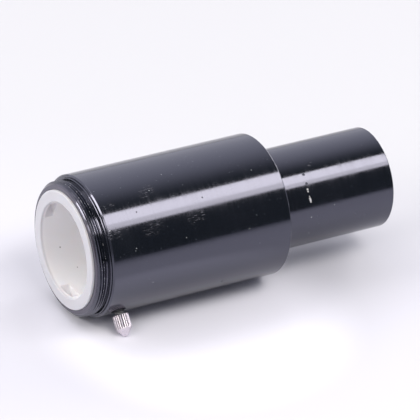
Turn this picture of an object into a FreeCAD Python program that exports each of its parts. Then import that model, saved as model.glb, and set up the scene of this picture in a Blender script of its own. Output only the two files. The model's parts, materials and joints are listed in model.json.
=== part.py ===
"""T-thread camera adapter on a push-in nosepiece, with a clamped inner sleeve.

The optical axis is X. The origin is the centre of the barrel's rear face, where
the nosepiece meets it: the nosepiece runs towards +X, and the camera thread
points towards -X. +Z is up, with the adapter lying on its barrel and on the
point of its thumbscrew.
"""
import FreeCAD
import Part
import math
import os
import Sketcher
from FreeCAD import Placement, Rotation, Vector

doc = FreeCAD.newDocument("t_thread_adapter")

# Driving sizes, in millimetres, degrees and plain counts. The camera thread and the
# nosepiece are the two standard diameters, and walls and steps are counted from them.
sizes = {
    # Camera ring: the front piece with the camera thread on its nose.
    "camera_thread_dia": 42.0,
    "camera_thread_bevel": 1.0,
    "camera_thread_wall": 2.3,
    "ring_nose_length": 4.1,
    "relief_depth": 0.5,
    "relief_width": 0.8,
    "flange_overhang": 0.5,
    "flange_thickness": 0.5,
    "flange_bevel": 0.15,
    "ring_root_wall": 1.6,
    "ring_root_length": 3.5,
    # Barrel: the large tube, whose wall is thinnest round the ring's root.
    "barrel_wall": 1.97,
    "barrel_length": 61.8,
    "barrel_front_bevel": 0.45,
    "barrel_rear_bevel": 0.2,
    "rear_wall": 6.0,
    "sleeve_seat_step": 1.2,
    # Nosepiece: the tube that slides into the telescope.
    "nosepiece_dia": 31.75,
    "nosepiece_length": 40.7,
    "nosepiece_bevel": 0.3,
    "nosepiece_root_step": 0.875,
    "nosepiece_seat_depth": 0.5,
    "nosepiece_seat_relief": 0.3,
    "filter_thread_wall": 1.945,
    "filter_thread_depth": 5.0,
    "filter_thread_bevel": 0.4,
    "filter_thread_step": 0.43,
    # Screwed joints between the fixed metal pieces.
    "thread_gap": 0.03,
    "thread_runout": 0.4,
    # Sleeve: the white plastic liner in the front of the barrel.
    "sleeve_gap": 0.1,
    "sleeve_wall": 3.6,
    "sleeve_length": 30.0,
    "sleeve_proud": 0.7,
    "sleeve_mouth_bevel": 0.3,
    "sleeve_tail_bevel": 0.5,
    # Three pockets behind the sleeve's lip: the corners of a triangle's outline.
    "pocket_lip": 1.3,
    "pocket_length": 2.9,
    "pocket_flat_inset": 4.4,
    "pocket_skin": 0.7,
    "pocket_turn": 35.0,
    # Thumbscrew: a threaded stud with a knurled head that ends in a blunt point.
    "screw_setback": 6.85,
    "stud_dia": 3.0,
    "stud_gap": 0.05,
    "stud_bevel": 0.3,
    "stud_in_head": 3.0,
    "tip_gap": 0.05,
    "neck_length": 0.9,
    "head_dia": 5.0,
    "head_bevel": 0.15,
    "knurl_length": 4.4,
    "knurl_depth": 0.28,
    "knurl_count": 20,
    "point_length": 2.3,
    "point_flat": 1.2,
}

dims = doc.addObject("Spreadsheet::Sheet", "dims")
for row, (name, amount) in enumerate(sizes.items(), 1):
    dims.set(f"A{row}", name)
    dims.set(f"B{row}", str(amount))
    dims.setAlias(f"B{row}", name)
doc.recompute()

# Radii that several pieces share, from the camera thread inwards and outwards.

THREAD_RADIUS = "(dims.camera_thread_dia / 2)"
LINER_BORE = f"({THREAD_RADIUS} - dims.camera_thread_wall)"
ROOT_RADIUS = f"({LINER_BORE} + dims.ring_root_wall)"
ROOT_BORE = f"({ROOT_RADIUS} + dims.thread_gap)"
BARREL_RADIUS = f"({ROOT_BORE} + dims.barrel_wall)"
SLEEVE_RADIUS = f"({LINER_BORE} - dims.sleeve_gap)"
SLEEVE_BORE = f"({SLEEVE_RADIUS} - dims.sleeve_wall)"
NOSEPIECE_RADIUS = "(dims.nosepiece_dia / 2)"
NOSEPIECE_ROOT = f"({NOSEPIECE_RADIUS} - dims.nosepiece_root_step)"
STUD_HOLE = "(dims.stud_dia / 2 + dims.stud_gap)"

# Places along the optical axis, back from the ring's or the barrel's front face.

RING_FRONT = "(dims.ring_nose_length + dims.flange_thickness)"
SLEEVE_SEAT = f"(dims.sleeve_length - dims.sleeve_proud - {RING_FRONT})"

# Places along the screw, out from the optical axis.

HEAD_START = f"({BARREL_RADIUS} + dims.neck_length)"
KNURL_END = f"({HEAD_START} + dims.knurl_length)"
POINT_END = f"({KNURL_END} + dims.point_length)"
POINT_RADIUS = "(dims.point_flat / 2)"
POINT_RIM = f"sqrt({POINT_END} * {POINT_END} + {POINT_RADIUS} * {POINT_RADIUS})"

# The screw leans this far from straight down, so that its point and the barrel
# both touch the surface that the adapter lies on.
POINT_SPREAD = f"atan({POINT_RADIUS} / {POINT_END})"
SCREW_LEAN = f"({POINT_SPREAD} + acos({BARREL_RADIUS} / {POINT_RIM}))"
SCREW_TURN = f"180 deg - {SCREW_LEAN}"


def amount_of(thing, formula):
    """What a formula of the sheet's sizes comes to, as a plain number."""
    found = thing.evalExpression(formula)
    return float(getattr(found, "Value", found))


def own_base(body, role):
    """One of a body's own base planes or axes."""
    return next(f for f in body.Origin.OriginFeatures if f.Role == role)


def new_body(label):
    """An empty body under its node's name."""
    body = doc.addObject("PartDesign::Body", label)
    body.Label = label
    doc.recompute()
    return body


def new_sketch(body, name, plane):
    """An empty sketch on one of the body's own base planes."""
    sketch = body.newObject("Sketcher::SketchObject", name)
    sketch.AttachmentSupport = (own_base(body, plane), [""])
    sketch.MapMode = "FlatFace"
    return sketch


def tie(sketch, kind, places, formula):
    """A dimension of the sketch that follows a formula."""
    amount = amount_of(sketch, formula)
    index = sketch.addConstraint(Sketcher.Constraint(kind, *places, amount))
    sketch.setExpression(f"Constraints[{index}]", formula)


def outline(sketch, corners):
    """A closed outline of straight lines through corners, each a pair of formulas."""
    places = [Vector(*(amount_of(sketch, f) for f in corner)) for corner in corners]
    for here, there in zip(places, places[1:] + places[:1]):
        sketch.addGeometry(Part.LineSegment(here, there), False)
    for line in range(len(places)):
        joined = (line, 2, (line + 1) % len(places), 1)
        sketch.addConstraint(Sketcher.Constraint("Coincident", *joined))
    for line, (across, up) in enumerate(corners):
        tie_corner(sketch, "DistanceX", line, across, upright_axis=-2)
        tie_corner(sketch, "DistanceY", line, up, upright_axis=-1)
    doc.recompute()


def tie_corner(sketch, kind, line, formula, upright_axis):
    """Hold a corner at a distance from the sketch's origin, or on its axis."""
    if formula == "0":
        on_axis = Sketcher.Constraint("PointOnObject", line, 1, upright_axis)
        sketch.addConstraint(on_axis)
    else:
        tie(sketch, kind, (-1, 1, line, 1), formula)


def revolve(body, sketch, axis):
    """Turn an outline once round an axis of its own sketch."""
    turned = body.newObject("PartDesign::Revolution", body.Label + "_turned")
    turned.Profile = sketch
    turned.ReferenceAxis = (sketch, [axis])
    turned.Angle = 360
    doc.recompute()


def turned_along_x(label, corners):
    """A body turned on the optical axis: corners are (along, radius) formulas."""
    body = new_body(label)
    sketch = new_sketch(body, label + "_outline", "XZ_Plane")
    outline(sketch, corners)
    revolve(body, sketch, "H_Axis")
    return body


def turned_along_screw(label, corners):
    """A body turned on the screw's axis: corners are (radius, along) formulas."""
    body = new_body(label)
    sketch = new_sketch(body, label + "_outline", "XZ_Plane")
    outline(sketch, corners)
    revolve(body, sketch, "V_Axis")
    body.Placement.Rotation = Rotation(Vector(1, 0, 0), 90)
    body.setExpression(".Placement.Rotation.Angle", SCREW_TURN)
    body.setExpression(".Placement.Base.x", "dims.screw_setback - dims.barrel_length")
    return body


def cut(body, sketch, name, length):
    """A pocket that runs from its sketch along the sketch's normal."""
    before = body.Tip.Shape.Volume
    pocket = body.newObject("PartDesign::Pocket", name)
    pocket.Profile = sketch
    pocket.Reversed = True
    pocket.setExpression("Length", length)
    doc.recompute()
    if not pocket.Shape.Volume < before:
        raise RuntimeError(name + " cuts nothing")
    return pocket


def barrel():
    """The large tube, bored for the ring and the sleeve, with a wall at the rear."""
    root_depth = "dims.ring_root_length + dims.thread_runout"
    chamber = f"{LINER_BORE} - dims.sleeve_seat_step"
    wall_start = "dims.barrel_length - dims.rear_wall"
    wall_hole = f"{NOSEPIECE_ROOT} + dims.thread_gap"
    rear_seat = f"{NOSEPIECE_RADIUS} + dims.thread_gap"
    rear_seat_start = "dims.barrel_length - dims.nosepiece_seat_depth"
    body = turned_along_x(
        "barrel",
        [
            ("0", ROOT_BORE),
            ("0", BARREL_RADIUS + " - dims.barrel_front_bevel"),
            ("dims.barrel_front_bevel", BARREL_RADIUS),
            ("dims.barrel_length - dims.barrel_rear_bevel", BARREL_RADIUS),
            ("dims.barrel_length", BARREL_RADIUS + " - dims.barrel_rear_bevel"),
            ("dims.barrel_length", rear_seat),
            (rear_seat_start, rear_seat),
            (rear_seat_start, wall_hole),
            (wall_start, wall_hole),
            (wall_start, chamber),
            (SLEEVE_SEAT, chamber),
            (SLEEVE_SEAT, LINER_BORE),
            (root_depth, LINER_BORE),
            (root_depth, ROOT_BORE),
        ],
    )
    hole = new_sketch(body, "screw_hole_outline", "XY_Plane")
    hole.AttachmentOffset = Placement(Vector(), Rotation(Vector(1, 0, 0), 90))
    hole.setExpression(".AttachmentOffset.Rotation.Angle", SCREW_TURN)
    centre = Vector(amount_of(hole, "dims.screw_setback"), 0, 0)
    round_hole = Part.Circle(centre, Vector(0, 0, 1), amount_of(hole, STUD_HOLE))
    hole.addGeometry(round_hole, False)
    hole.addConstraint(Sketcher.Constraint("PointOnObject", 0, 3, -1))
    tie(hole, "DistanceX", (-1, 1, 0, 3), "dims.screw_setback")
    tie(hole, "Radius", (0,), STUD_HOLE)
    cut(body, hole, "screw_hole", f"2 * {BARREL_RADIUS}")
    body.setExpression(".Placement.Base.x", "-dims.barrel_length")
    return body


def camera_ring():
    """The front ring: threaded nose, relief groove, thin flange and screwed-in root."""
    nose = "dims.ring_nose_length"
    relief_start = nose + " - dims.relief_width"
    relief = f"{THREAD_RADIUS} - dims.relief_depth"
    flange = f"{THREAD_RADIUS} + dims.flange_overhang"
    back = f"{RING_FRONT} + dims.ring_root_length"
    body = turned_along_x(
        "camera_ring",
        [
            ("0", LINER_BORE),
            ("0", THREAD_RADIUS + " - dims.camera_thread_bevel"),
            ("dims.camera_thread_bevel", THREAD_RADIUS),
            (relief_start, THREAD_RADIUS),
            (relief_start, relief),
            (nose, relief),
            (nose, flange + " - dims.flange_bevel"),
            (nose + " + dims.flange_bevel", flange),
            (RING_FRONT, flange),
            (RING_FRONT, ROOT_RADIUS),
            (back, ROOT_RADIUS),
            (back, LINER_BORE),
        ],
    )
    body.setExpression(".Placement.Base.x", f"-(dims.barrel_length + {RING_FRONT})")
    return body


def nosepiece():
    """The slide-in tube, with a screwed root, and a filter thread in its far end."""
    seat = "dims.rear_wall - dims.nosepiece_seat_depth"
    end = "dims.rear_wall + dims.nosepiece_length"
    filter_bore = f"{NOSEPIECE_RADIUS} - dims.filter_thread_wall"
    filter_start = end + " - dims.filter_thread_depth"
    bore = filter_bore + " - dims.filter_thread_step"
    spigot = f"{NOSEPIECE_RADIUS} - dims.nosepiece_seat_relief"
    body = turned_along_x(
        "nosepiece",
        [
            ("0", bore),
            ("0", NOSEPIECE_ROOT),
            (seat, NOSEPIECE_ROOT),
            (seat, spigot),
            ("dims.rear_wall", spigot),
            ("dims.rear_wall", NOSEPIECE_RADIUS),
            (end + " - dims.nosepiece_bevel", NOSEPIECE_RADIUS),
            (end, NOSEPIECE_RADIUS + " - dims.nosepiece_bevel"),
            (end, filter_bore + " + dims.filter_thread_bevel"),
            (end + " - dims.filter_thread_bevel", filter_bore),
            (filter_start, filter_bore),
            (filter_start, bore),
        ],
    )
    body.setExpression(".Placement.Base.x", "-dims.rear_wall")
    return body


def sleeve():
    """The white liner: a plain tube with a bevelled mouth and three hidden pockets."""
    mouth = "dims.sleeve_mouth_bevel"
    tail = "dims.sleeve_tail_bevel"
    end = "dims.sleeve_length"
    body = turned_along_x(
        "sleeve",
        [
            ("0", f"{SLEEVE_BORE} + {mouth}"),
            ("0", f"{SLEEVE_RADIUS} - {mouth}"),
            (mouth, SLEEVE_RADIUS),
            (f"{end} - {tail}", SLEEVE_RADIUS),
            (end, f"{SLEEVE_RADIUS} - {tail}"),
            (end, f"{SLEEVE_BORE} + {tail}"),
            (f"{end} - {tail}", SLEEVE_BORE),
            (mouth, SLEEVE_BORE),
        ],
    )
    corners = new_sketch(body, "pocket_outline", "YZ_Plane")
    corners.AttachmentOffset = Placement(Vector(), Rotation(Vector(0, 0, -1), 1))
    corners.setExpression(".AttachmentOffset.Base.z", "dims.pocket_lip")
    corners.setExpression(".AttachmentOffset.Rotation.Angle", "dims.pocket_turn * 1 deg")
    cut_corner_triangle(
        corners,
        flat=f"({SLEEVE_BORE} - dims.pocket_flat_inset)",
        reach=f"({SLEEVE_RADIUS} - dims.pocket_skin)",
    )
    cut(body, corners, "lip_pockets", "dims.pocket_length")
    front = f"dims.barrel_length + {RING_FRONT} + dims.sleeve_proud"
    body.setExpression(".Placement.Base.x", f"-({front})")
    return body


def cut_corner_triangle(sketch, flat, reach):
    """An equal-sided triangle whose corners are cut off by one circle.

    The flats lie a distance "flat" from the centre, and the circle's radius is
    "reach". Lines 0 to 2 are the flats, and lines 3 to 5 are the arcs that join them.
    """
    radius = amount_of(sketch, reach)
    half = amount_of(sketch, f"acos({flat} / {reach})")
    sides = 3
    corner = 360 / sides

    def rim(angle):
        return Rotation(Vector(0, 0, 1), angle).multVec(Vector(radius, 0, 0))

    for side in range(sides):
        facing = side * corner
        flat_line = Part.LineSegment(rim(facing - half), rim(facing + half))
        sketch.addGeometry(flat_line, False)
    for side in range(sides):
        start = rim(side * corner + half)
        middle = rim(side * corner + corner / 2)
        end = rim((side + 1) * corner - half)
        sketch.addGeometry(Part.Arc(start, middle, end), False)
    for side in range(sides):
        arc = sides + side
        after = (side + 1) % sides
        slope = math.radians(90 + side * corner)
        sketch.addConstraint(Sketcher.Constraint("Coincident", side, 2, arc, 1))
        sketch.addConstraint(Sketcher.Constraint("Coincident", arc, 2, after, 1))
        sketch.addConstraint(Sketcher.Constraint("Coincident", arc, 3, -1, 1))
        sketch.addConstraint(Sketcher.Constraint("Angle", side, slope))
        tie(sketch, "Radius", (arc,), reach)
        tie(sketch, "Distance", (-1, 1, side), flat)
    doc.recompute()


def thumbscrew_stud():
    """The threaded shank: from just clear of the sleeve into the knurled head."""
    radius = "dims.stud_dia / 2"
    tip = f"{SLEEVE_RADIUS} + dims.tip_gap"
    end = f"{HEAD_START} + dims.stud_in_head - dims.stud_gap"
    return turned_along_screw(
        "thumbscrew_stud",
        [
            ("0", tip),
            (radius + " - dims.stud_bevel", tip),
            (radius, tip + " + dims.stud_bevel"),
            (radius, end),
            ("0", end),
        ],
    )


def thumbscrew_head():
    """The knurled head: straight flutes, then a cone with a small flat end."""
    radius = "dims.head_dia / 2"
    hole_end = f"{HEAD_START} + dims.stud_in_head"
    body = turned_along_screw(
        "thumbscrew_head",
        [
            (STUD_HOLE, HEAD_START),
            (radius + " - dims.head_bevel", HEAD_START),
            (radius, HEAD_START + " + dims.head_bevel"),
            (radius, KNURL_END),
            (POINT_RADIUS, POINT_END),
            ("0", POINT_END),
            ("0", hole_end),
            (STUD_HOLE, hole_end),
        ],
    )
    flute = new_sketch(body, "flute_outline", "XY_Plane")
    flute.AttachmentOffset = Placement(Vector(), Rotation())
    flute.setExpression(".AttachmentOffset.Base.z", HEAD_START)
    outline(
        flute,
        [
            (radius + " - dims.knurl_depth", "0"),
            (radius + " + dims.knurl_depth", "2 * dims.knurl_depth"),
            (radius + " + dims.knurl_depth", "-2 * dims.knurl_depth"),
        ],
    )
    first = cut(body, flute, "first_flute", "dims.knurl_length")
    knurl = body.newObject("PartDesign::PolarPattern", "knurl")
    knurl.Originals = [first]
    knurl.Axis = (own_base(body, "Z_Axis"), [""])
    knurl.Angle = 360
    knurl.setExpression("Occurrences", "dims.knurl_count")
    body.Tip = knurl
    doc.recompute()
    return body


pieces = [
    barrel(),
    camera_ring(),
    nosepiece(),
    sleeve(),
    thumbscrew_stud(),
    thumbscrew_head(),
]
doc.recompute()

for thing in doc.Objects:
    if "Invalid" in thing.State or "Error" in thing.State:
        raise RuntimeError(f"{thing.Name} failed: {thing.State}")
for piece in pieces:
    if piece.Shape.isNull() or not piece.Shape.isValid():
        raise RuntimeError(f"{piece.Label} has no valid solid")

os.makedirs("parts", exist_ok=True)
for piece in pieces:
    piece.Shape.exportStep(f"parts/{piece.Label}.step")
    box = piece.Shape.BoundBox
    print(piece.Label, len(piece.Shape.Solids), round(piece.Shape.Volume, 2), box)
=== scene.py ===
"""Looks of a T-thread camera adapter: black turned tubes, a white liner and a thumbscrew.

Every piece is a surface worked out with numpy, in the frame's own metres. A piece that is
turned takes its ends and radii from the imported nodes, mounts and joints, and the rest from
the named sizes below.
"""
import bmesh
import bpy
import json
import math
import numpy as np
from mathutils import Matrix, Vector

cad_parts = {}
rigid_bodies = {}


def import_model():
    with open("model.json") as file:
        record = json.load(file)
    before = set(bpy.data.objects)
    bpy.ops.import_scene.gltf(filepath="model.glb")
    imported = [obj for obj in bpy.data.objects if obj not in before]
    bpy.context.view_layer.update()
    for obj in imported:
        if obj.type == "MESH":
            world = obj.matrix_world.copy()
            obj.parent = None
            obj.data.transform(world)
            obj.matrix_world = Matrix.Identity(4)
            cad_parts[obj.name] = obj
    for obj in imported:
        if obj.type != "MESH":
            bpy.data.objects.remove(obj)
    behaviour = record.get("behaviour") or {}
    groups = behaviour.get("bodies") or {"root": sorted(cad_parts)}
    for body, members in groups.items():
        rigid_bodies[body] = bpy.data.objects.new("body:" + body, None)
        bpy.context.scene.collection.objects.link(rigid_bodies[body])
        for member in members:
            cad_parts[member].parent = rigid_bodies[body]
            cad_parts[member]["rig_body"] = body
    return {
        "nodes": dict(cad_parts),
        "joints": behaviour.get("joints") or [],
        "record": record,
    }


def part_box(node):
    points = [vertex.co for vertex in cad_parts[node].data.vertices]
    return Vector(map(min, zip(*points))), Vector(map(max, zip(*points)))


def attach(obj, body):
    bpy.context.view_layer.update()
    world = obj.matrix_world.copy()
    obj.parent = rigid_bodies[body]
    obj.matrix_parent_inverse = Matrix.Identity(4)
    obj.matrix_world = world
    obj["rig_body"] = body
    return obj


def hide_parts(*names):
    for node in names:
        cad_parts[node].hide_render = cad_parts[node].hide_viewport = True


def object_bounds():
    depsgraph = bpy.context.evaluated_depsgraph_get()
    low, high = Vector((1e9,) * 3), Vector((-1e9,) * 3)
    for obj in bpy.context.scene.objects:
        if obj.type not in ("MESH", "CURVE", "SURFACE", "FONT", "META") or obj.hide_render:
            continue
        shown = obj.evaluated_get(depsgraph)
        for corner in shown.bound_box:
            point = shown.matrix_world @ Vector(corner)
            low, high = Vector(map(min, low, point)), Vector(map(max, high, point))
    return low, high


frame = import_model()
cad_low, cad_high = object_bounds()

MM = 0.001
FULL_TURN = 2 * math.pi

# What the frame gives: ends along the optical axis, radii, and the screw's own axis.


def reach(node):
    """Where a turned node begins and ends along the optical axis, and its radius."""
    low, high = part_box(node)
    return low.x, high.x, high.z


BARREL_FRONT, BARREL_REAR, BARREL_RADIUS = reach("barrel")
RING_FRONT, RING_BACK, FLANGE_RADIUS = reach("camera_ring")
NOSEPIECE_ROOT, NOSEPIECE_END, NOSEPIECE_RADIUS = reach("nosepiece")
SLEEVE_FRONT, SLEEVE_BACK, SLEEVE_RADIUS = reach("sleeve")
FLOOR_HEIGHT = cad_low.z
mounts = {mount["name"]: mount["dims"] for mount in frame["record"]["mounts"]}
joints = {joint["name"]: joint for joint in frame["joints"]}
CAMERA_THREAD_RADIUS = mounts["camera_thread"]["r_mm"] * MM
FILTER_THREAD_RADIUS = mounts["filter_thread"]["r_mm"] * MM

# Sizes of the metal tubes.
LINER_BORE = 18.7 * MM
RING_ROOT_BORE = 20.33 * MM
RING_ROOT_RADIUS = 20.3 * MM
RING_ROOT_DEPTH = 3.9 * MM
FLANGE_THICKNESS = 0.5 * MM
RING_NOSE_END = BARREL_FRONT - FLANGE_THICKNESS
RELIEF_WIDTH = 0.8 * MM
RELIEF_RADIUS = 20.5 * MM
CAMERA_THREAD_BEVEL = 1.0 * MM
PLAIN_EDGE = 0.3 * MM
CAMERA_PITCH = 0.75 * MM
CHAMBER_RADIUS = 17.5 * MM
REAR_WALL = 6.0 * MM
REAR_HOLE_RADIUS = 15.03 * MM
REAR_SEAT_RADIUS = 15.905 * MM
REAR_SEAT_DEPTH = 0.5 * MM
NOSEPIECE_ROOT_RADIUS = 15.0 * MM
NOSEPIECE_SPIGOT_RADIUS = 15.575 * MM
NOSEPIECE_BORE = 13.5 * MM
FILTER_THREAD_DEPTH = 5.0 * MM
FILTER_PITCH = 0.6 * MM

# Sizes of the white liner.
SLEEVE_BORE = 15.0 * MM
SLEEVE_SOFTENING = 0.35 * MM
SLEEVE_TAIL_BEVEL = 0.5 * MM
POCKET_LIP = 1.3 * MM
POCKET_LENGTH = 2.9 * MM
POCKET_FLAT = 10.6 * MM
POCKET_REACH = 17.9 * MM
POCKET_FLAT_TURNS = np.radians([85.0, 205.0, 325.0])

# Sizes of the thumbscrew, out from the optical axis along the screw.
SCREW_AXIS = np.array(joints["screw_turn"]["axis"])
SCREW_FOOT = np.array(joints["screw_turn"]["pos_m"])
STUD_RADIUS = 1.5 * MM
STUD_HOLE = 1.55 * MM
STUD_PITCH = 0.5 * MM
STUD_START = 18.65 * MM
STUD_END = 26.15 * MM
HEAD_START = 23.2 * MM
HEAD_SOCKET_END = 26.2 * MM
KNURL_END = 27.6 * MM
POINT_END = 29.9 * MM
HEAD_RADIUS = 2.5 * MM
POINT_RADIUS = 0.6 * MM
KNURL_DEPTH = 0.28 * MM
KNURL_COUNT = 20

# A thread's section: how much of the pitch is flat at its crest and at its root, with
# flanks at 60 degrees to each other between.
CREST_FLAT = 1 / 8
ROOT_FLAT = 1 / 12
THREAD_FLANKS = 1 - CREST_FLAT - ROOT_FLAT
THREAD_HEIGHT_PER_PITCH = THREAD_FLANKS * math.sqrt(3) / 2

# Fineness of the surfaces.
ROUND_TUBE = 240
ROUND_SLEEVE = 360
ROUND_STUD = 64
PER_FLUTE = 16
PER_PITCH = 22
CORNER_STEPS = 6
SHARP_EDGE = math.radians(32)
MERGE_DISTANCE = 0.0002 * MM
SMALLEST_EDGE = 0.0001 * MM


def unit(vectors):
    """Vectors divided by their lengths."""
    return vectors / np.linalg.norm(vectors, axis=-1, keepdims=True)


def outline(*corners):
    """A closed outline through corners of (along, out, softening, cells to the next corner).

    A corner P between the directions u and w of its two sides becomes the parabola
    P + softening * ((1 - s)^2 u + s^2 w) for s from 0 to 1. One more point at twice the
    softening along each side keeps the shading flat beyond it, and the rest of the side is
    divided into equal cells. A point that would lie past the axis is put on it.
    """
    table = np.array(corners, float)
    place, soft, cells = table[:, :2], table[:, 2:3], table[:, 3].astype(int)
    back = unit(np.roll(place, 1, axis=0) - place)
    ahead = unit(np.roll(place, -1, axis=0) - place)
    share = np.linspace(0, 1, CORNER_STEPS)[:, None, None]
    arc = place + soft * (back * (1 - share) ** 2 + ahead * share**2)
    start = place + 2 * soft * back
    end = place + 2 * soft * ahead
    following = np.roll(start, -1, axis=0)
    parts = []
    for corner, count in enumerate(cells):
        side = np.linspace(end[corner], following[corner], count, endpoint=False)
        parts += [start[corner : corner + 1], arc[:, corner], side]
    points = np.concatenate(parts)
    points[:, 1] = np.maximum(points[:, 1], 0)
    return points


def cells_for(length, size):
    """How many equal cells of about that size a length is divided into."""
    return max(1, round(length / size))


# An axis is its foot and three directions: its own, and two square to it and each other.
OPTICAL = (np.zeros(3), np.eye(3))
SCREW_SIDE = np.array([1.0, 0.0, 0.0])
SCREW = (SCREW_FOOT, np.array([SCREW_AXIS, SCREW_SIDE, np.cross(SCREW_AXIS, SCREW_SIDE)]))


def swept(axis, along, radius, turn):
    """Points at a distance along an axis, at a radius from it and at a turn round it.

    The point is foot + along * a + radius * (cos(turn) * b + sin(turn) * c), where a, b and
    c are the axis's three directions and turn follows the right-hand rule about a.
    """
    foot, directions = axis
    along, radius, turn = np.broadcast_arrays(along, radius, turn)
    local = np.stack([along, radius * np.cos(turn), radius * np.sin(turn)], axis=-1)
    return foot + local @ directions


def turns(count):
    """Evenly spaced angles once round."""
    return np.linspace(0, FULL_TURN, count, endpoint=False)


def numbered(points, first=0):
    """The points' numbers, in the shape of their grid, counted on from the first."""
    return first + np.arange(points.shape[0] * points.shape[1]).reshape(points.shape[:2])


def ring_faces(indices, close_rows=True):
    """Quads between neighbouring rows and columns of a grid of point numbers.

    Each cell's four corners are (i, j), (i + 1, j), (i + 1, j + 1) and (i, j + 1). The
    columns always close on themselves, and the rows do if asked.
    """
    below = np.roll(indices, -1, axis=0)
    quads = np.stack(
        [indices, below, np.roll(below, -1, axis=1), np.roll(indices, -1, axis=1)],
        axis=-1,
    )
    return quads if close_rows else quads[:-1]


def thread_depth(along, turn, pitch):
    """How deep a right-handed thread is at a place: 0 at its crest and 1 at its root.

    The phase along / pitch - turn / full turn gives the distance from the nearest crest,
    from 0 to 1 half a pitch away. The depth grows evenly along the flank, and is clipped to
    0 on the crest's flat and to 1 on the root's.
    """
    phase = along / pitch - turn / FULL_TURN
    from_crest = 2 * np.abs(phase - np.round(phase))
    return np.clip((from_crest - CREST_FLAT) / THREAD_FLANKS, 0, 1)


def add_piece(name, node, points, faces, finish):
    """A smooth closed mesh that stands for a CAD node and rides on the node's body.

    Doubled points are merged, so that seams and poles close, and faces turned outwards.
    """
    mesh = bpy.data.meshes.new(name)
    mesh.from_pydata(points.reshape(-1, 3).tolist(), [], faces.reshape(-1, 4).tolist())
    work = bmesh.new()
    work.from_mesh(mesh)
    bmesh.ops.remove_doubles(work, verts=work.verts, dist=MERGE_DISTANCE)
    bmesh.ops.dissolve_degenerate(work, edges=work.edges, dist=SMALLEST_EDGE)
    bmesh.ops.recalc_face_normals(work, faces=work.faces)
    work.to_mesh(mesh)
    work.free()
    mesh.shade_smooth()
    mesh.set_sharp_from_angle(angle=SHARP_EDGE)
    mesh.materials.append(finish)
    piece = bpy.data.objects.new(name, mesh)
    bpy.context.scene.collection.objects.link(piece)
    cad = frame["nodes"][node]
    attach(piece, cad["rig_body"])
    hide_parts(node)
    return piece


def add_turned(name, node, axis, along, radius, around, finish):
    """A piece whose closed outline is carried once round an axis.

    Each row of the grid is a point of the outline and each column a turn round the axis, so
    the radius may change from turn to turn.
    """
    points = swept(axis, along, radius, around)
    return add_piece(name, node, points, ring_faces(numbered(points)), finish)


# The barrel, with the thumbscrew's hole through its wall.

HOLE_REACH = 2.6 * MM
HOLE_RINGS = 5


def barrel_outline():
    """The tube's section: outer skin, rear wall and seat, chamber, liner bore and root."""
    size = 0.58 * MM
    soft = 0.06 * MM
    seat = SLEEVE_BACK
    wall = BARREL_REAR - REAR_WALL
    root_end = BARREL_FRONT + RING_ROOT_DEPTH
    front_bevel = 0.45 * MM
    rear_bevel = 0.3 * MM
    skin = cells_for(BARREL_REAR - BARREL_FRONT, size)
    bore = cells_for(seat - root_end, size)
    chamber = cells_for(wall - seat, 4 * size)
    return outline(
        (BARREL_FRONT, RING_ROOT_BORE, soft, 2),
        (BARREL_FRONT, BARREL_RADIUS - front_bevel, soft, 2),
        (BARREL_FRONT + front_bevel, BARREL_RADIUS, soft, skin),
        (BARREL_REAR - rear_bevel, BARREL_RADIUS, soft, 1),
        (BARREL_REAR, BARREL_RADIUS - rear_bevel, soft / 2, 6),
        (BARREL_REAR, REAR_SEAT_RADIUS, soft / 2, 1),
        (BARREL_REAR - REAR_SEAT_DEPTH, REAR_SEAT_RADIUS, soft / 2, 1),
        (BARREL_REAR - REAR_SEAT_DEPTH, REAR_HOLE_RADIUS, soft / 2, 2),
        (wall, REAR_HOLE_RADIUS, soft, 3),
        (wall, CHAMBER_RADIUS, soft, chamber),
        (seat, CHAMBER_RADIUS, soft, 1),
        (seat, LINER_BORE, soft, bore),
        (root_end, LINER_BORE, soft, 1),
        (root_end, RING_ROOT_BORE, soft, 3),
    )


def rows_by_hole(corners, radius):
    """The rows of the skin at a radius that lie within the hole's reach of the screw."""
    on_skin = np.abs(corners[:, 1] - radius) < 0.001 * MM
    in_reach = np.abs(corners[:, 0] - SCREW_FOOT[0]) < HOLE_REACH
    return np.flatnonzero(on_skin & in_reach)


def window_loop(first, rows, left, columns):
    """Point places (row, column) once round the edge of a window of the grid."""
    down = np.arange(rows)
    over = np.arange(columns)
    row = [first + down, first + rows + 0 * over, first + rows - down, first + 0 * over]
    column = [left + 0 * down, left + over, left + columns + 0 * down, left + columns - over]
    return np.concatenate(row), np.concatenate(column)


def hole_circle(angle, skin):
    """Where the screw's round hole meets a skin round the optical axis.

    At an angle f the hole's edge lies its radius * cos(f) along the tube from the screw's
    axis, and asin(its radius * sin(f) / skin) round it.
    """
    along = SCREW_FOOT[0] + STUD_HOLE * np.cos(angle)
    return along, np.arcsin(STUD_HOLE * np.sin(angle) / skin)


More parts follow.
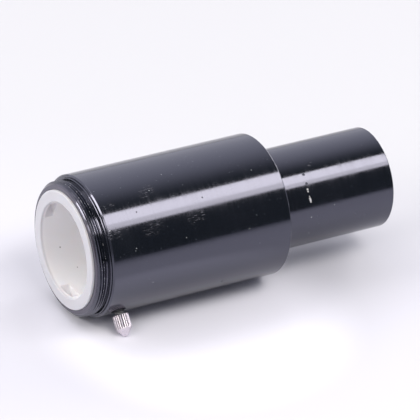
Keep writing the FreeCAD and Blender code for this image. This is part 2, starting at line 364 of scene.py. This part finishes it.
def add_barrel(finish):
    """The tube, its skins opened by a window each and led towards the screw's hole.

    Rings of points run from the window's square edge to the hole's circle by equal shares,
    on the skin itself, and straight lines join the outer circle to the inner one. From the
    hole's middle, the window's first corner is at -135 degrees on the outer skin and at -45
    degrees on the inner one, whose rows run the other way along the tube.

    Known fault: on both skins the circle is followed against the edge's direction, and the
    two circles are joined a quarter turn apart. So the rings cross over the hole, and it is
    not open in this mesh, though it is in the solid.
    """
    corners = barrel_outline()
    screw_turn = math.atan2(SCREW_AXIS[2], SCREW_AXIS[1])
    along, radius = corners.T[..., None]
    grid = swept(OPTICAL, along, radius, turns(ROUND_TUBE) + screw_turn)
    indices = numbered(grid)
    quads = ring_faces(indices)
    kept = np.ones(quads.shape[:2], bool)
    half = cells_for(HOLE_REACH, FULL_TURN / ROUND_TUBE * BARREL_RADIUS)
    outer_rows = rows_by_hole(corners, BARREL_RADIUS)
    inner_rows = rows_by_hole(corners, LINER_BORE)
    rows = len(outer_rows) - 1
    share = np.linspace(0, 1, HOLE_RINGS + 1)[1:, None]
    points, faces, circles = [grid.reshape(-1, 3)], [], []
    count = indices.size
    for first, skin, corner_angle, way in (
        (outer_rows[0], BARREL_RADIUS, math.radians(-135), -1),
        (inner_rows[0], LINER_BORE, math.radians(-45), 1),
    ):
        kept[np.ix_(first + np.arange(rows), np.arange(-half, half))] = False
        row, column = window_loop(first, rows, -half, 2 * half)
        edge_turn = column * FULL_TURN / ROUND_TUBE
        hole_along, hole_turn = hole_circle(corner_angle + way * turns(len(row)), skin)
        ring_along = corners[row, 0] * (1 - share) + hole_along * share
        ring_turn = edge_turn * (1 - share) + hole_turn * share
        rings = swept(OPTICAL, ring_along, skin, ring_turn + screw_turn)
        numbers = numbered(rings, count)
        edge = indices[row, column % ROUND_TUBE]
        faces.append(ring_faces(np.vstack([edge, numbers]), close_rows=False))
        points.append(rings.reshape(-1, 3))
        circles.append(numbers[-1])
        count += numbers.size
    outer, inner = circles
    matched = np.roll(inner[::-1], 1)
    faces.append(ring_faces(np.vstack([outer, matched]), close_rows=False))
    all_faces = np.concatenate([quads[kept]] + [f.reshape(-1, 4) for f in faces])
    return add_piece("barrel_tube", "barrel", np.concatenate(points), all_faces, finish)


def add_camera_ring(finish):
    """The front ring: a nose cut by the camera thread, relief groove, flange and root.

    The thread's depth is taken off the turned outline: all of it on the nose, and a share
    on the front bevel that grows from nothing behind a plain narrow edge.
    """
    soft = 0.05 * MM
    relief_end = RING_NOSE_END
    thread_end = relief_end - RELIEF_WIDTH
    flange_bevel = 0.15 * MM
    thread_cells = cells_for(thread_end - RING_FRONT, CAMERA_PITCH / PER_PITCH)
    bevel_cells = cells_for(CAMERA_THREAD_BEVEL, CAMERA_PITCH / PER_PITCH)
    corners = outline(
        (RING_FRONT, LINER_BORE, soft, 2),
        (RING_FRONT, CAMERA_THREAD_RADIUS - CAMERA_THREAD_BEVEL, soft, bevel_cells),
        (RING_FRONT + CAMERA_THREAD_BEVEL, CAMERA_THREAD_RADIUS, soft / 2, thread_cells),
        (thread_end, CAMERA_THREAD_RADIUS, soft / 2, 4),
        (thread_end, RELIEF_RADIUS, soft / 2, 3),
        (relief_end, RELIEF_RADIUS, soft, 2),
        (relief_end, FLANGE_RADIUS - flange_bevel, soft / 2, 1),
        (relief_end + flange_bevel, FLANGE_RADIUS, soft / 2, 1),
        (BARREL_FRONT, FLANGE_RADIUS, soft / 2, 2),
        (BARREL_FRONT, RING_ROOT_RADIUS, soft, 2),
        (RING_BACK, RING_ROOT_RADIUS, soft, 1),
        (RING_BACK, LINER_BORE, soft, 6),
    )
    around = turns(ROUND_TUBE)
    along, radius = corners.T[..., None]
    depth = thread_depth(along, around, CAMERA_PITCH)
    cut = THREAD_HEIGHT_PER_PITCH * CAMERA_PITCH * depth
    start = RING_FRONT + PLAIN_EDGE
    share = np.clip((along - start) / (CAMERA_THREAD_BEVEL - PLAIN_EDGE), 0, 1)
    plain = CAMERA_THREAD_RADIUS - CAMERA_THREAD_BEVEL
    threaded = (along < thread_end + soft) & (radius > plain + soft)
    radius = np.where(threaded, radius - cut * np.sqrt(share), radius)
    name, node = "camera_thread_ring", "camera_ring"
    return add_turned(name, node, OPTICAL, along, radius, around, finish)


def add_nosepiece(finish):
    """The slide-in tube, with a filter thread cut into the mouth of its bore.

    Where the thread runs, the bore's radius is its crest plus the thread's depth, which
    grows from nothing over the first pitch from the thread's inner end.
    """
    soft = 0.06 * MM
    bevel = 0.3 * MM
    mouth_bevel = 0.4 * MM
    seat = BARREL_REAR - REAR_SEAT_DEPTH
    thread_start = NOSEPIECE_END - FILTER_THREAD_DEPTH
    thread_cells = cells_for(FILTER_THREAD_DEPTH, FILTER_PITCH / PER_PITCH)
    corners = outline(
        (NOSEPIECE_ROOT, NOSEPIECE_BORE, soft, 1),
        (NOSEPIECE_ROOT, NOSEPIECE_ROOT_RADIUS, soft, 2),
        (seat, NOSEPIECE_ROOT_RADIUS, soft, 1),
        (seat, NOSEPIECE_SPIGOT_RADIUS, soft / 2, 1),
        (BARREL_REAR, NOSEPIECE_SPIGOT_RADIUS, soft / 4, 1),
        (BARREL_REAR, NOSEPIECE_RADIUS, soft / 4, 24),
        (NOSEPIECE_END - bevel, NOSEPIECE_RADIUS, soft, 1),
        (NOSEPIECE_END, NOSEPIECE_RADIUS - bevel, soft, 2),
        (NOSEPIECE_END, FILTER_THREAD_RADIUS + mouth_bevel, soft, 4),
        (NOSEPIECE_END - mouth_bevel, FILTER_THREAD_RADIUS, soft / 2, thread_cells),
        (thread_start, FILTER_THREAD_RADIUS, soft / 2, 1),
        (thread_start, NOSEPIECE_BORE, soft, 24),
    )
    around = turns(ROUND_TUBE)
    along, radius = corners.T[..., None]
    fade = np.clip((along - thread_start) / FILTER_PITCH, 0, 1)
    depth = thread_depth(along, around, FILTER_PITCH) * fade
    root = FILTER_THREAD_RADIUS + THREAD_HEIGHT_PER_PITCH * FILTER_PITCH * depth
    inside = (along > thread_start + soft) & (radius < FILTER_THREAD_RADIUS + mouth_bevel)
    inside &= radius > NOSEPIECE_BORE + soft
    radius = np.where(inside, np.maximum(radius, root), radius)
    return add_turned("nosepiece_tube", "nosepiece", OPTICAL, along, radius, around, finish)


def add_sleeve(finish):
    """The white liner, with three pockets behind its lip.

    Between the pocket's ends, the bore's radius is the largest of the round bore and of a
    flat's distance over the cosine of the turn from that flat, but no more than the reach.
    The cosine is kept above a small number, because the far side of a flat has none.
    """
    soft = SLEEVE_SOFTENING
    tail = SLEEVE_TAIL_BEVEL
    pocket_start = SLEEVE_FRONT + POCKET_LIP
    pocket_end = pocket_start + POCKET_LENGTH
    edge = 0.08 * MM
    corners = outline(
        (SLEEVE_FRONT, SLEEVE_BORE, soft, 3),
        (SLEEVE_FRONT, SLEEVE_RADIUS, soft, 10),
        (SLEEVE_BACK - tail, SLEEVE_RADIUS, edge, 1),
        (SLEEVE_BACK, SLEEVE_RADIUS - tail, edge, 2),
        (SLEEVE_BACK, SLEEVE_BORE + tail, edge, 1),
        (SLEEVE_BACK - tail, SLEEVE_BORE, edge, 12),
        (pocket_end, SLEEVE_BORE, edge, 20),
        (pocket_start, SLEEVE_BORE, edge, 2),
    )
    around = turns(ROUND_SLEEVE)
    along, radius = corners.T[..., None]
    towards_flat = np.cos(around - POCKET_FLAT_TURNS[:, None])
    triangle = np.min(POCKET_FLAT / np.maximum(towards_flat, 0.01), axis=0)
    pocket = np.minimum(triangle, POCKET_REACH)
    inside = (along > pocket_start) & (along < pocket_end) & (radius < SLEEVE_BORE + edge)
    radius = np.where(inside, np.maximum(radius, pocket), radius)
    return add_turned("white_liner", "sleeve", OPTICAL, along, radius, around, finish)


def add_stud(finish):
    """The thumbscrew's shank: a right-handed thread between two softened ends."""
    soft = 0.06 * MM
    bevel = 0.3 * MM
    cells = cells_for(STUD_END - STUD_START, STUD_PITCH / PER_PITCH)
    corners = outline(
        (STUD_START, 0.0, soft / 10, 2),
        (STUD_START, STUD_RADIUS - bevel, soft, 4),
        (STUD_START + bevel, STUD_RADIUS, soft / 2, cells),
        (STUD_END, STUD_RADIUS, soft / 2, 2),
        (STUD_END, 0.0, soft / 10, 1),
    )
    around = turns(ROUND_STUD)
    along, radius = corners.T[..., None]
    depth = thread_depth(along, around, STUD_PITCH)
    crest = STUD_RADIUS - THREAD_HEIGHT_PER_PITCH * STUD_PITCH * depth
    radius = np.minimum(radius, crest)
    name, node = "thumbscrew_shank", "thumbscrew_stud"
    return add_turned(name, node, SCREW, along, radius, around, finish)


def add_head(finish):
    """The knurled head with its cone.

    A flute is a right-angled notch: its depth is the knurl's depth less the distance round
    the head from the flute's middle. The flutes run out just before the cone.
    """
    soft = 0.05 * MM
    bevel = 0.15 * MM
    corners = outline(
        (HEAD_START, STUD_HOLE, soft, 1),
        (HEAD_START, HEAD_RADIUS - bevel, soft, 1),
        (HEAD_START + bevel, HEAD_RADIUS, soft, 12),
        (KNURL_END, HEAD_RADIUS, soft / 2, 6),
        (POINT_END, POINT_RADIUS, 2 * soft, 2),
        (POINT_END, 0.0, soft / 10, 1),
        (HEAD_SOCKET_END, 0.0, soft / 10, 1),
        (HEAD_SOCKET_END, STUD_HOLE, soft, 2),
    )
    around = turns(KNURL_COUNT * PER_FLUTE)
    along, radius = corners.T[..., None]
    step = FULL_TURN / KNURL_COUNT
    from_flute = np.abs(around - step * np.round(around / step)) * HEAD_RADIUS
    notch = np.maximum(KNURL_DEPTH - from_flute, 0)
    fluted = (radius > HEAD_RADIUS - KNURL_DEPTH) & (along < KNURL_END - soft)
    radius = np.where(fluted, np.minimum(radius, HEAD_RADIUS - notch), radius)
    return add_turned("knurled_head", "thumbscrew_head", SCREW, along, radius, around, finish)


# Finishes.


def add_node(tree, kind, settings=None, **inputs):
    """A shader node, with its settings, and with a value or a wire on each named input."""
    made = tree.nodes.new("ShaderNode" + kind)
    for name, value in (settings or {}).items():
        setattr(made, name, value)
    for name, value in inputs.items():
        set_input(tree, made.inputs[name.replace("_", " ")], value)
    return made


def set_input(tree, socket, value):
    """Puts a number, a colour or another node's output on a socket."""
    if isinstance(value, bpy.types.NodeSocket):
        tree.links.new(value, socket)
    else:
        socket.default_value = value


def maths(tree, operation, *values):
    """The output of a Math node over two or three values or wires."""
    made = tree.nodes.new("ShaderNodeMath")
    made.operation = operation
    for socket, value in zip(made.inputs, values):
        set_input(tree, socket, value)
    return made.outputs[0]


def vector_maths(tree, operation, *values):
    """The output of a Vector Math node over vectors or wires: a number, or a vector."""
    made = add_node(tree, "VectorMath", {"operation": operation})
    for socket, value in zip(made.inputs, values):
        set_input(tree, socket, value)
    gives_number = operation in ("LENGTH", "DISTANCE", "DOT_PRODUCT")
    return made.outputs["Value" if gives_number else "Vector"]


def stretched_noise(tree, stretch, detail=2.0, rough=0.5):
    """Noise over the piece's own coordinates, with so many cycles a metre each way."""
    place = add_node(tree, "TexCoord").outputs["Object"]
    scaled = add_node(tree, "Mapping", Vector=place, Scale=stretch).outputs[0]
    settings = dict(Scale=1.0, Detail=detail, Roughness=rough)
    return add_node(tree, "TexNoise", Vector=scaled, **settings).outputs["Fac"]


def ramp_between(tree, value, low, high, bottom=0.0, top=1.0):
    """A smooth step from bottom to top while the value goes from low to high."""
    step = add_node(
        tree,
        "MapRange",
        {"interpolation_type": "SMOOTHSTEP"},
        Value=value,
        From_Min=low,
        From_Max=high,
        To_Min=bottom,
        To_Max=top,
    )
    return step.outputs["Result"]


def new_finish(name, **constants):
    """A material, its node tree and its shader, with constants on the shader's sockets."""
    made = bpy.data.materials.new(name)
    made.use_nodes = True
    shader = made.node_tree.nodes["Principled BSDF"]
    for socket, value in constants.items():
        shader.inputs[socket.replace("_", " ")].default_value = value
    return made, made.node_tree, shader


def blend_colours(tree, share, first, second):
    """A colour between two, by a share."""
    mix = add_node(tree, "Mix", {"data_type": "RGBA"})
    set_input(tree, mix.inputs["Factor"], share)
    set_input(tree, mix.inputs[6], first)
    set_input(tree, mix.inputs[7], second)
    return mix.outputs[2]


def object_place(tree, ragged=0.0):
    """The piece's own coordinates, moved about by up to half a ragged length."""
    place = add_node(tree, "TexCoord").outputs["Object"]
    if not ragged:
        return place
    noise = add_node(tree, "TexNoise", Vector=place, Scale=2200.0, Detail=2.0)
    most, middle = (ragged,) * 3, (-ragged / 2,) * 3
    shift = vector_maths(tree, "MULTIPLY_ADD", noise.outputs["Color"], most, middle)
    return vector_maths(tree, "ADD", place, shift)


def from_axis(tree):
    """The distance from the optical axis: the length of the place without its X."""
    return vector_maths(
        tree, "LENGTH", vector_maths(tree, "MULTIPLY", object_place(tree), (0, 1, 1))
    )


def marks_on(tree, skin, marks, ragged=0.3 * MM):
    """How much of a mark there is, from marks of (along, turn, size) on a skin's radius.

    Lengths are in millimetres and turns in degrees. A mark is whole within half its size
    of its middle and gone at its size.
    """
    place = object_place(tree, ragged)
    total = 0.0
    for along, turn, size in marks:
        middle = swept(OPTICAL, along * MM, skin, math.radians(turn))
        away = vector_maths(tree, "DISTANCE", place, middle)
        one = ramp_between(tree, away, size / 2 * MM, size * MM, 1.0, 0.0)
        total = maths(tree, "MAXIMUM", total, one)
    return total


# Marks on the skins, read off the photograph: along in millimetres, turn in degrees from +Y
# towards +Z, and size in millimetres.
BARREL_LINT = [
    (-43.6, 112.8, 0.24),
    (-36.9, 100.4, 0.16),
    (-8.7, 116.2, 0.17),
    (-36.4, 156.5, 0.22),
    (-53.5, 155.5, 0.24),
    (-53.8, 157.4, 0.18),
    (-14.7, 161.5, 0.22),
    (-47.9, 188.5, 0.2),
    (-60.8, 137.5, 0.36),
]
BARREL_SCUFFS = [
    (-61.0, 140.5, 2.0),
    (-58.9, 140.1, 2.2),
    (-48.8, 144.0, 2.2),
    (-46.6, 144.0, 2.6),
    (-44.6, 143.0, 2.0),
    (-59.9, 117.2, 1.4),
    (-57.6, 117.7, 1.6),
    (-45.8, 114.4, 2.4),
    (-43.6, 111.5, 2.2),
    (-33.0, 143.4, 2.4),
    (-30.2, 142.6, 2.2),
]
BARREL_PITS = [(-21.7, 210.7, 0.4), (-50.5, 128.0, 0.3), (-28.0, 129.0, 0.3)]
NOSEPIECE_CHIPS = [
    (10.6, 141.6, 0.36),
    (10.6, 144.0, 0.34),
    (10.7, 149.8, 0.26),
    (10.8, 152.2, 0.42),
    (10.9, 154.2, 0.46),
    (10.9, 155.9, 0.36),
]
NOSEPIECE_LINT = [(19.1, 165.6, 0.22), (10.8, 174.1, 0.26), (10.8, 196.4, 0.22)]
NOSEPIECE_SCUFFS = [(14.2, 114.6, 0.9), (15.0, 113.2, 0.8)]
NOSEPIECE_PITS = [(10.9, 124.2, 0.6), (10.8, 135.0, 0.55)]


def black_anodised(name, skin, lint, scuffs, chips, pits):
    """Black dyed, anodised turned metal: turning marks round it, lint, scuffs and chips.

    The thread's crests, where a camera's ring rubs, have worn specks, and the ring's end
    face is painted paler, as a painted sheen. Marks are as marks_on takes them, on a skin
    of the given radius.
    """
    dye_dark, dye_pale = (0.004, 0.006, 0.009, 1), (0.006, 0.008, 0.011, 1)
    end_face_painted_sheen = (0.036, 0.031, 0.039, 1)
    dust = (0.07, 0.08, 0.09, 1)
    worn_metal = (0.22, 0.22, 0.23, 1)
    scuff_grey = (0.040, 0.040, 0.043, 1)
    lint_grey = (0.30, 0.32, 0.32, 1)
    bare_metal = (0.66, 0.66, 0.66, 1)
    made, tree, shader = new_finish(name, IOR=1.94, Specular_Tint=(0.80, 0.80, 1.0, 1))
    marks = stretched_noise(tree, (9000, 160, 160), detail=3.0, rough=0.6)
    bands = stretched_noise(tree, (1500, 60, 60), detail=2.0, rough=0.6)
    cloud = stretched_noise(tree, (70, 70, 70), detail=4.0, rough=0.6)
    speck = stretched_noise(tree, (1500, 1500, 1500), detail=1.0)
    specks = ramp_between(tree, speck, 0.75, 0.79)
    place = object_place(tree)
    along = add_node(tree, "SeparateXYZ", Vector=place).outputs[0]
    nose = ramp_between(tree, along, RING_NOSE_END - 0.6 * MM, RING_NOSE_END, 1.0, 0.0)
    crest_low = CAMERA_THREAD_RADIUS - 0.12 * MM
    crest = ramp_between(tree, from_axis(tree), crest_low, crest_low + 0.1 * MM)
    crest = maths(tree, "MULTIPLY", crest, nose)
    worn = maths(tree, "MULTIPLY", ramp_between(tree, speck, 0.60, 0.68), crest)
    # Painted sheen: the ring's end face gets a paler colour in place of the light it
    # reflects.
    face_end = RING_FRONT + PLAIN_EDGE
    face = ramp_between(tree, along, face_end, face_end + 0.3 * MM, 1.0, 0.0)
    colour = blend_colours(tree, cloud, dye_dark, dye_pale)
    colour = blend_colours(tree, face, colour, end_face_painted_sheen)
    colour = blend_colours(tree, specks, colour, dust)
    colour = blend_colours(tree, worn, colour, worn_metal)
    streak = ramp_between(tree, stretched_noise(tree, (600, 4200, 4200)), 0.50, 0.70)
    scuffed = maths(tree, "MULTIPLY", marks_on(tree, skin, scuffs), streak)
    colour = blend_colours(tree, scuffed, colour, scuff_grey)
    colour = blend_colours(tree, marks_on(tree, skin, lint), colour, lint_grey)
    colour = blend_colours(tree, marks_on(tree, skin, chips), colour, bare_metal)
    set_input(tree, shader.inputs["Base Color"], colour)
    smooth = ramp_between(tree, bands, 0.3, 0.7, 0.09, 0.145)
    rough = maths(tree, "ADD", smooth, ramp_between(tree, cloud, 0.45, 0.75, 0.0, 0.06))
    dull = maths(tree, "MULTIPLY", marks_on(tree, skin, pits), 0.6)
    dull = maths(tree, "ADD", dull, maths(tree, "MULTIPLY", scuffed, 0.2))
    set_input(tree, shader.inputs["Roughness"], maths(tree, "ADD", rough, dull))
    bump = add_node(tree, "Bump", Strength=0.08, Distance=0.01 * MM, Height=marks)
    set_input(tree, shader.inputs["Normal"], bump.outputs[0])
    return made


LINER_SPECKS = [(-61.0, 328.0, 0.3), (-57.5, 300.0, 0.22)]


def white_plastic():
    """Satin white moulded plastic that lets a little light in.

    The bore is painted whiter, as painted light, and the end face greyer, as painted shade;
    the outer skin is greyer too.
    """
    bore_painted_light_low, bore_painted_light_high = (0.955, 0.940, 0.950, 1), (0.972, 0.957, 0.967, 1)
    face_painted_shade_low, face_painted_shade_high = (0.60, 0.60, 0.63, 1), (0.64, 0.64, 0.67, 1)
    skin_grey = (0.76, 0.755, 0.77, 1)
    speck_grey = (0.4, 0.38, 0.36, 1)
    made, tree, shader = new_finish(
        "white_plastic",
        Roughness=0.38,
        IOR=1.48,
        Subsurface_Weight=0.3,
        Subsurface_Radius=(1.0, 0.8, 0.7),
        Subsurface_Scale=1.5 * MM,
    )
    cloud = stretched_noise(tree, (120, 120, 120), detail=4.0)
    # Painted light in the bore, painted shade on the end face: whiter and greyer copies of
    # one plastic.
    inner = blend_colours(tree, cloud, bore_painted_light_low, bore_painted_light_high)
    front = blend_colours(tree, cloud, face_painted_shade_low, face_painted_shade_high)
    along = add_node(tree, "SeparateXYZ", Vector=object_place(tree)).outputs[0]
    depth = ramp_between(tree, along, SLEEVE_FRONT + 0.1 * MM, SLEEVE_FRONT + 1.2 * MM)
    colour = blend_colours(tree, depth, front, inner)
    out = from_axis(tree)
    skin = ramp_between(tree, out, SLEEVE_RADIUS - 0.4 * MM, SLEEVE_RADIUS - 0.2 * MM)
    skin = maths(tree, "MULTIPLY", skin, depth)
    colour = blend_colours(tree, skin, colour, skin_grey)
    specks = marks_on(tree, SLEEVE_BORE, LINER_SPECKS)
    colour = blend_colours(tree, specks, colour, speck_grey)
    set_input(tree, shader.inputs["Base Color"], colour)
    grain = stretched_noise(tree, (2500, 2500, 2500), detail=2.0)
    bump = add_node(tree, "Bump", Strength=0.1, Distance=0.02 * MM, Height=grain)
    set_input(tree, shader.inputs["Normal"], bump.outputs[0])
    return made


def nickel_plate():
    """Bright nickel plate, a little pink, finely scratched, with painted shade in its flutes.

    The painted shade lies where the distance from the screw's axis is under the head's
    radius, as far along that axis as the knurl goes.
    """
    plate_dark, plate_pale = (0.66, 0.61, 0.66, 1), (0.81, 0.75, 0.81, 1)
    flute_shade_grey = (0.13, 0.12, 0.15, 1)
    made, tree, shader = new_finish("nickel_plate", Metallic=1.0)
    cloud = stretched_noise(tree, (900, 900, 900), detail=3.0)
    plate = blend_colours(tree, cloud, plate_dark, plate_pale)
    arm = vector_maths(tree, "SUBTRACT", object_place(tree), SCREW_FOOT)
    along = vector_maths(tree, "DOT_PRODUCT", arm, SCREW_AXIS)
    out = vector_maths(tree, "LENGTH", vector_maths(tree, "CROSS_PRODUCT", arm, SCREW_AXIS))
    # Painted shade: the flutes are darkened towards their bottoms, in place of the shade
    # there.
    flute = ramp_between(tree, out, HEAD_RADIUS - 0.24 * MM, HEAD_RADIUS, 1.0, 0.0)
    knurl = ramp_between(tree, along, KNURL_END, KNURL_END + 0.08 * MM, 1.0, 0.0)
    flute_shade = maths(tree, "MULTIPLY", flute, knurl)
    colour = blend_colours(tree, flute_shade, plate, flute_shade_grey)
    set_input(tree, shader.inputs["Base Color"], colour)
    rough = ramp_between(tree, cloud, 0.3, 0.7, 0.24, 0.42)
    set_input(tree, shader.inputs["Roughness"], rough)
    scratch = stretched_noise(tree, (16000, 2500, 2500), detail=2.0)
    bump = add_node(tree, "Bump", Strength=0.15, Distance=0.01 * MM, Height=scratch)
    set_input(tree, shader.inputs["Normal"], bump.outputs[0])
    return made


def cut_steel():
    """Plain cut steel of the stud, clouded darker and paler."""
    steel_dark, steel_pale = (0.40, 0.40, 0.41, 1), (0.62, 0.61, 0.61, 1)
    made, tree, shader = new_finish("cut_steel", Metallic=1.0)
    cloud = stretched_noise(tree, (1200, 1200, 1200), detail=3.0)
    colour = blend_colours(tree, cloud, steel_dark, steel_pale)
    set_input(tree, shader.inputs["Base Color"], colour)
    rough = ramp_between(tree, cloud, 0.3, 0.7, 0.25, 0.45)
    set_input(tree, shader.inputs["Roughness"], rough)
    return made


# The studio: floor, backdrop light, soft boxes and camera.

CAMERA_YAW = math.radians(31.81)
CAMERA_ELEVATION = math.radians(32.01)
CAMERA_ROLL = math.radians(4.61)
CAMERA_LENS = 365.2
CAMERA_DISTANCE = 1.287
CAMERA_AIM = Vector((-0.0260, -0.0158, 0.0134))
TENT_LIFT = math.radians(25)
FRONT_TENT = 0.25
TENT_COLOUR = (0.89, 0.89, 1.0, 1)
VIEW_ALONG_FLOOR = (math.sin(CAMERA_YAW), math.cos(CAMERA_YAW), 0.0)
FLOOR_HALF = 3.0
LAMP_DISTANCE = 1.1
LAMP_COLOUR = (1.0, 0.965, 0.92)
MAIN_DIRECTION = (0.447, -0.399, 0.800)
MAIN_SLOPE = (1, 0, 0.52)

# The lamps: name, direction from the object, direction that the width follows, shift, and
# then width, height and radiance.
LAMPS = [
    ("main_lamp", MAIN_DIRECTION, MAIN_SLOPE, (-0.27, 0.0, 0.0), 1.0, 0.44, 5.2),
    ("main_core", MAIN_DIRECTION, MAIN_SLOPE, (-0.295, 0.07, -0.04), 0.95, 0.28, 2.4),
    ("near_lamp", (-0.77, -0.27, 0.58), (0, 1, 0), (0, 0, 0), 0.5, 0.5, 4.6),
    ("left_lamp", (-0.79, 0.22, 0.567), (0, 1, 0), (0, 0, 0), 0.6, 0.16, 10.0),
    ("back_lamp", (-0.35, 0.5, 0.79), (1, 0, 0), (0, 0, 0), 0.7, 0.6, 2.4),
    ("right_lamp", (0.83, 0.40, 0.39), (0, 0, 1), (0, 0, 0), 0.5, 0.42, 6.0),
]


def add_camera():
    """The camera at the photograph's viewing angle."""
    camera = bpy.data.objects.new("camera", bpy.data.cameras.new("camera"))
    camera.data.lens = CAMERA_LENS
    turned = Matrix.Rotation(-CAMERA_YAW, 4, "Z")
    turned @= Matrix.Rotation(math.pi / 2 - CAMERA_ELEVATION, 4, "X")
    turned @= Matrix.Rotation(CAMERA_ROLL, 4, "Z")
    back = Matrix.Translation((0, 0, CAMERA_DISTANCE))
    camera.matrix_world = Matrix.Translation(CAMERA_AIM) @ turned @ back
    bpy.context.scene.collection.objects.link(camera)
    bpy.context.scene.camera = camera


def add_floor():
    """A pale lavender table, with a painted pool of light round the object and painted shade
    far in front.

    How far in front a place is comes from its length along the view's line on the floor.
    """
    near_grey, beyond_grey = (0.62, 0.62, 0.68, 1), (0.585, 0.59, 0.615, 1)
    painted_light_round_object, painted_shade_far_in_front = (0.84, 0.84, 0.92, 1), (0.40, 0.40, 0.44, 1)
    middle = (BARREL_FRONT / 2, -0.02, FLOOR_HEIGHT)
    half = FLOOR_HALF
    corners = [(-half, -half), (half, -half), (half, half), (-half, half)]
    mesh = bpy.data.meshes.new("floor")
    mesh.from_pydata([(x, y, FLOOR_HEIGHT) for x, y in corners], [], [(0, 1, 2, 3)])
    made, tree, shader = new_finish("floor_paper", Roughness=0.6, Specular_IOR_Level=0.2)
    place = add_node(tree, "TexCoord").outputs["Object"]
    away = vector_maths(tree, "DOT_PRODUCT", place, VIEW_ALONG_FLOOR)
    beyond = ramp_between(tree, away, -0.02, 0.08)
    colour = blend_colours(tree, beyond, near_grey, beyond_grey)
    # Painted light: the floor is paler within a few centimetres of the object.
    from_middle = vector_maths(tree, "DISTANCE", place, middle)
    close = ramp_between(tree, from_middle, 0.03, 0.055, 1.0, 0.0)
    colour = blend_colours(tree, close, colour, painted_light_round_object)
    # Painted shade: the floor darkens far in front, in place of the light falling off there.
    before = ramp_between(tree, away, -0.30, -0.08)
    colour = blend_colours(tree, before, painted_shade_far_in_front, colour)
    set_input(tree, shader.inputs["Base Color"], colour)
    mesh.materials.append(made)
    floor = bpy.data.objects.new("floor", mesh)
    bpy.context.scene.collection.objects.link(floor)


def add_soft_box(name, direction, across, shift, width, height, radiance):
    """A rectangular soft light at a direction from the object, facing back along it.

    Its width follows the direction across, as nearly as the facing allows, and it is
    shifted by three lengths: along its width, along its height and away from the object.
    """
    light = bpy.data.lights.new(name, "AREA")
    light.shape = "RECTANGLE"
    light.size = width
    light.size_y = height
    light.energy = radiance * math.pi * width * height
    light.color = LAMP_COLOUR
    box = bpy.data.objects.new(name, light)
    away = Vector(direction).normalized()
    side = (Vector(across) - away * away.dot(Vector(across))).normalized()
    up = away.cross(side)
    turned = Matrix([side, up, away]).transposed().to_4x4()
    along, rise, back = shift
    place = CAMERA_AIM + side * along + up * rise + away * (LAMP_DISTANCE + back)
    box.matrix_world = Matrix.Translation(place) @ turned
    bpy.context.scene.collection.objects.link(box)


def add_studio_light():
    """A pale tent round the object, open and dark overhead and in front on the right.

    The tent's light in a direction is the greatest of four parts: a back part, which grows
    as the direction nears a line behind and above the object; a right and a left part,
    which grow as it nears the optical axis; and a faint front part, which is there only on
    the left, away from the directions that the tubes reflect. The lamps are soft boxes.
    """
    world = bpy.data.worlds.new("studio")
    world.use_nodes = True
    bpy.context.scene.world = world
    tree = world.node_tree
    direction = add_node(tree, "TexCoord").outputs["Generated"]
    tent_middle = (0.0, math.cos(TENT_LIFT), math.sin(TENT_LIFT))
    towards = vector_maths(tree, "DOT_PRODUCT", direction, tent_middle)
    behind = ramp_between(tree, towards, 0.25, 1.0, 0.05, 1.25)
    parts = add_node(tree, "SeparateXYZ", Vector=direction).outputs
    right = ramp_between(tree, parts[0], 0.55, 0.85, 0.0, 1.9)
    left = ramp_between(tree, parts[0], -0.85, -0.5, 0.15, 0.0)
    beside = maths(tree, "MAXIMUM", right, left)
    leftward = ramp_between(tree, parts[0], 0.0, 0.2, 1.0, 0.0)
    forward = ramp_between(tree, parts[1], -0.35, 0.15, FRONT_TENT, 0.0)
    front = maths(tree, "MULTIPLY", leftward, forward)
    background = tree.nodes["Background"]
    background.inputs["Color"].default_value = TENT_COLOUR
    strength = maths(tree, "MAXIMUM", maths(tree, "MAXIMUM", behind, beside), front)
    set_input(tree, background.inputs["Strength"], strength)
    for lamp in LAMPS:
        add_soft_box(*lamp)
    bpy.context.scene.view_settings.view_transform = "Standard"


add_camera()
add_floor()
add_studio_light()
barrel_marks = (BARREL_LINT, BARREL_SCUFFS, [], BARREL_PITS)
barrel_black = black_anodised("black_anodised", BARREL_RADIUS, *barrel_marks)
nosepiece_marks = (NOSEPIECE_LINT, NOSEPIECE_SCUFFS, NOSEPIECE_CHIPS, NOSEPIECE_PITS)
nosepiece_black = black_anodised("black_anodised_tube", NOSEPIECE_RADIUS, *nosepiece_marks)
add_barrel(barrel_black)
add_camera_ring(barrel_black)
add_nosepiece(nosepiece_black)
add_sleeve(white_plastic())
add_stud(cut_steel())
add_head(nickel_plate())
